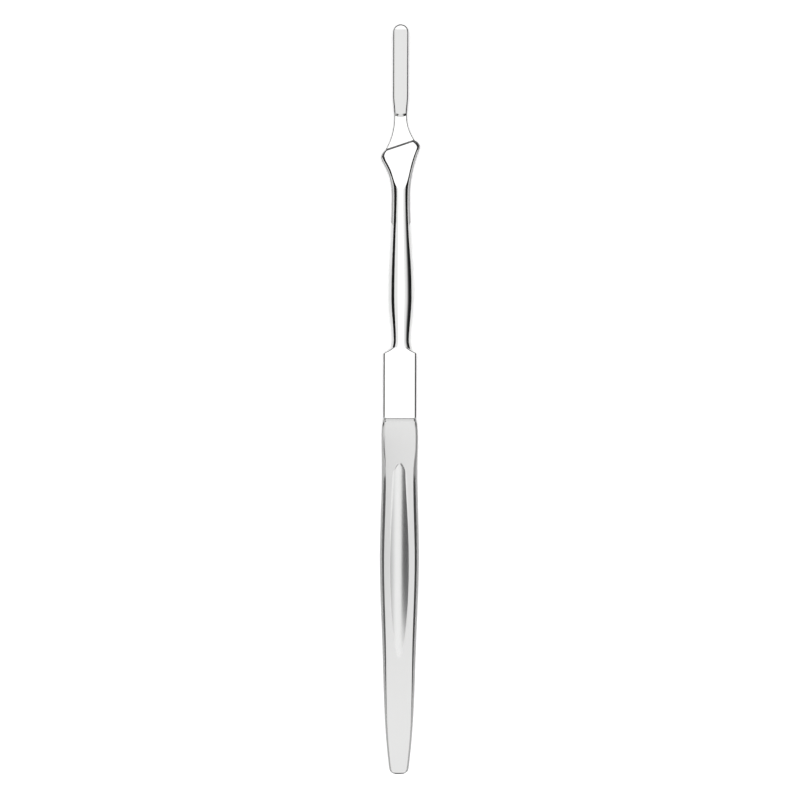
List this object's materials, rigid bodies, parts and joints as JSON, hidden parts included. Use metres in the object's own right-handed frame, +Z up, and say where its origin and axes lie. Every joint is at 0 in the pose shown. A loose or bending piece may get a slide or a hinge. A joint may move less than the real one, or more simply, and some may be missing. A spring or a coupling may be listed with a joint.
{
  "type": "scalpel handle",
  "caption": "Slender one-piece steel scalpel handle with fluted grip, square block, round waisted neck, flat paddle, slanted blade stop and grooved key for a detachable blade.",
  "frame": {"origin": "centre of the bounding box's foot, on the flat surface that the handle lies on", "axes": "+Y towards the tang's tip, +Z up from the surface with the front face, which takes the blade, upward; the handle's middle line rises 1.12 degrees towards +Y, because it rests on the grip's end and the neck's bulb"},
  "size_m": [0.0085, 0.16, 0.0056],
  "materials": {
    "stainless_steel": "fine satin grip, mirror-polished block, neck and paddle"
  },
  "bodies": {
    "root": {"scalpel_handle": "stainless_steel"}
  },
  "joints": []
}
